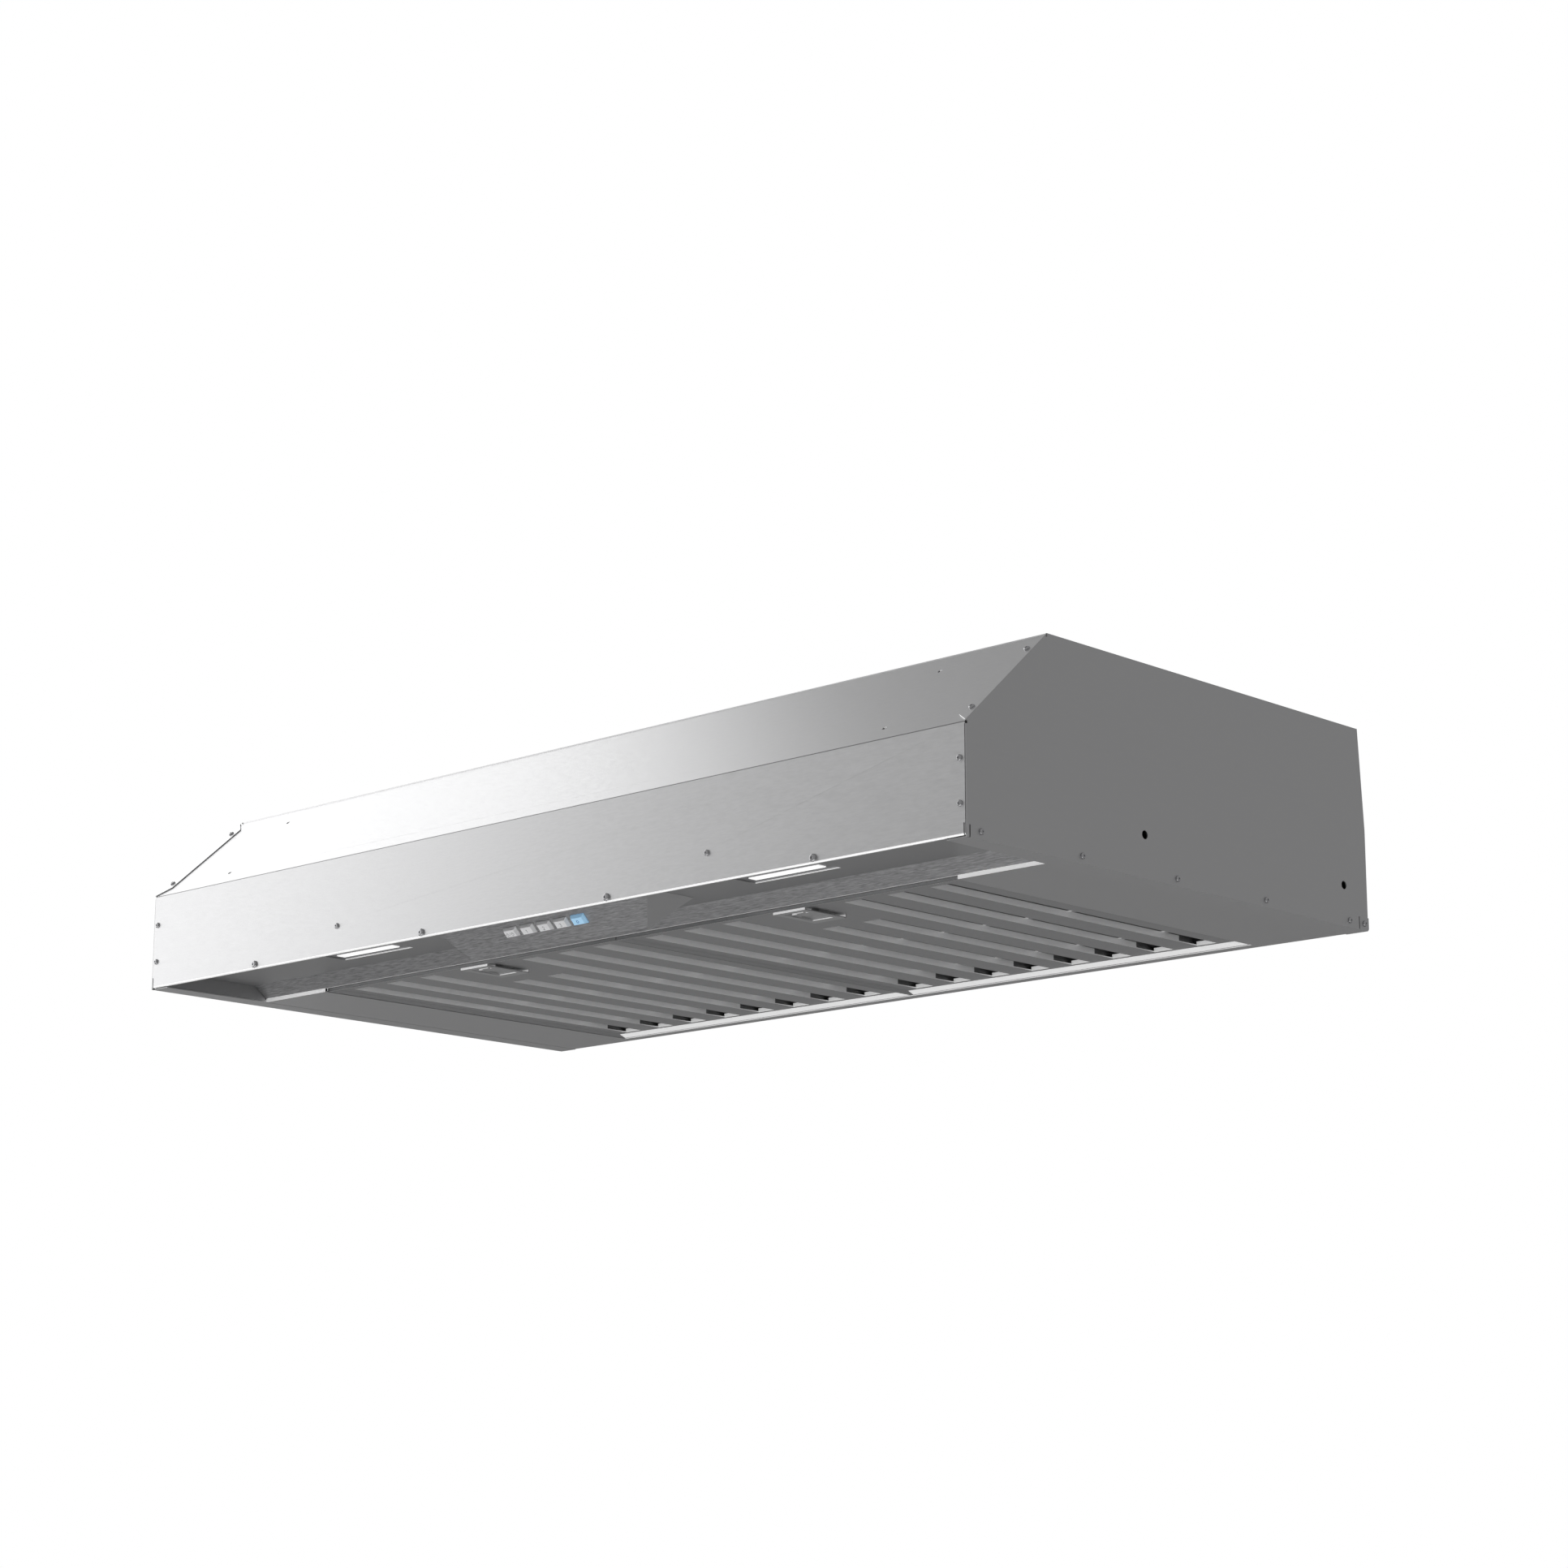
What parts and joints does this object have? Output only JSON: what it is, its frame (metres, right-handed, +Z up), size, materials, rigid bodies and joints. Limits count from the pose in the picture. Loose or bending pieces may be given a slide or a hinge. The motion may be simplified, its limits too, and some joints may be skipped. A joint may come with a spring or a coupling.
{
  "type": "under cabinet range hood",
  "caption": "Low, wide kitchen hood with a sloped front, push buttons, lamps, drop-down baffle filters and a blower behind them that exhausts through a rectangular top duct.",
  "frame": {"origin": "centre of the four mounting holes, on the top panel's outer face", "axes": "+X along the width, to the right as seen from the front; +Y from front to back; +Z up"},
  "size_m": [0.914, 0.4796, 0.2069],
  "materials": {
    "brushed_shell": "fine horizontal brushed grain",
    "filter_steel": "satin, fine grain",
    "galvanised_steel": "dull zinc plating",
    "screw_steel": "polished",
    "bright_steel": "ground",
    "motor_casing": "satin",
    "bearing_bronze": "satin",
    "black_plastic": "fine texture",
    "circuit_board": "satin",
    "lamp_housing": "satin",
    "lamp_lens": "frosted",
    "button_white": "satin, translucent white",
    "button_lit": "satin, lit pale blue"
  },
  "bodies": {
    "hood": {"blower_scroll": "galvanised_steel", "blower_side_left": "galvanised_steel", "blower_side_right": "galvanised_steel", "bottom_pan": "filter_steel", "cable_bushing": "black_plastic", "capacitor": "motor_casing", "capacitor_strap": "galvanised_steel", "case_screws": "screw_steel", "channel_ends": "brushed_shell", "channel_screws": "screw_steel", "collar_screws": "screw_steel", "control_housing": "brushed_shell", "damper_pin": "galvanised_steel", "duct_collar": "galvanised_steel", "front_braces": "galvanised_steel", "front_panel": "brushed_shell", "front_rail": "brushed_shell", "front_screws": "screw_steel", "lamp_body_left": "lamp_housing", "lamp_body_right": "lamp_housing", "lamp_lens_left": "lamp_lens", "lamp_lens_right": "lamp_lens", "led_driver": "black_plastic", "light_channel": "brushed_shell", "motor_bearings": "bearing_bronze", "motor_body": "motor_casing", "motor_bracket": "galvanised_steel", "rear_panel": "brushed_shell", "side_panel_left": "brushed_shell", "side_panel_right": "brushed_shell", "side_screws": "screw_steel", "slope_screws": "screw_steel", "speed_board": "circuit_board", "switch_board": "circuit_board", "switches": "black_plastic", "top_panel": "brushed_shell", "wiring_box": "galvanised_steel", "wiring_cover": "galvanised_steel"},
    "rotor": {"motor_shaft": "bright_steel", "impeller_left": "black_plastic", "impeller_right": "black_plastic"},
    "damper_front": {"damper_flap_front": "galvanised_steel"},
    "damper_rear": {"damper_flap_rear": "galvanised_steel"},
    "button_power": {"button_power": "button_white"},
    "button_speed_1": {"button_speed_1": "button_white"},
    "button_speed_2": {"button_speed_2": "button_white"},
    "button_speed_3": {"button_speed_3": "button_white"},
    "button_light": {"button_light": "button_lit"},
    "filter_left": {"filter_face_left": "filter_steel", "filter_baffles_left": "filter_steel", "filter_frame_left": "filter_steel", "latch_housing_left": "filter_steel"},
    "latch_left": {"latch_slider_left": "filter_steel", "latch_spring_left": "bright_steel"},
    "filter_right": {"filter_face_right": "filter_steel", "filter_baffles_right": "filter_steel", "filter_frame_right": "filter_steel", "latch_housing_right": "filter_steel"},
    "latch_right": {"latch_slider_right": "filter_steel", "latch_spring_right": "bright_steel"}
  },
  "joints": [
    {"name": "rotor_spin", "type": "hinge", "parent": "hood", "child": "rotor", "pos_m": [0, 0.0495, -0.0703], "axis": [1, 0, 0], "continuous": true},
    {"name": "damper_front_swing", "type": "hinge", "parent": "hood", "child": "damper_front", "pos_m": [0, 0.07825, 0.0041], "axis": [-1, 0, 0], "range_deg": [0, 60]},
    {"name": "damper_rear_swing", "type": "hinge", "parent": "hood", "child": "damper_rear", "pos_m": [0, 0.07825, 0.0041], "axis": [1, 0, 0], "range_deg": [0, 60]},
    {"name": "button_power_press", "type": "slide", "parent": "hood", "child": "button_power", "axis": [0, 0.7071, 0.7071], "range_m": [0, 0.0012], "stiffness_N_per_m": 600, "springref_m": -0.001},
    {"name": "button_speed_1_press", "type": "slide", "parent": "hood", "child": "button_speed_1", "axis": [0, 0.7071, 0.7071], "range_m": [0, 0.0012], "stiffness_N_per_m": 600, "springref_m": -0.001},
    {"name": "button_speed_2_press", "type": "slide", "parent": "hood", "child": "button_speed_2", "axis": [0, 0.7071, 0.7071], "range_m": [0, 0.0012], "stiffness_N_per_m": 600, "springref_m": -0.001},
    {"name": "button_speed_3_press", "type": "slide", "parent": "hood", "child": "button_speed_3", "axis": [0, 0.7071, 0.7071], "range_m": [0, 0.0012], "stiffness_N_per_m": 600, "springref_m": -0.001},
    {"name": "button_light_press", "type": "slide", "parent": "hood", "child": "button_light", "axis": [0, 0.7071, 0.7071], "range_m": [0, 0.0012], "stiffness_N_per_m": 600, "springref_m": -0.001},
    {"name": "filter_left_drop", "type": "hinge", "parent": "hood", "child": "filter_left", "pos_m": [-0.1775, 0.1827, -0.1587], "axis": [1, 0, 0], "range_deg": [0, 35]},
    {"name": "latch_left_pull", "type": "slide", "parent": "filter_left", "child": "latch_left", "axis": [0, 1, 0], "range_m": [0, 0.008], "stiffness_N_per_m": 250, "springref_m": -0.008},
    {"name": "filter_right_drop", "type": "hinge", "parent": "hood", "child": "filter_right", "pos_m": [0.1775, 0.1827, -0.1587], "axis": [1, 0, 0], "range_deg": [0, 35]},
    {"name": "latch_right_pull", "type": "slide", "parent": "filter_right", "child": "latch_right", "axis": [0, 1, 0], "range_m": [0, 0.008], "stiffness_N_per_m": 250, "springref_m": -0.008}
  ]
}
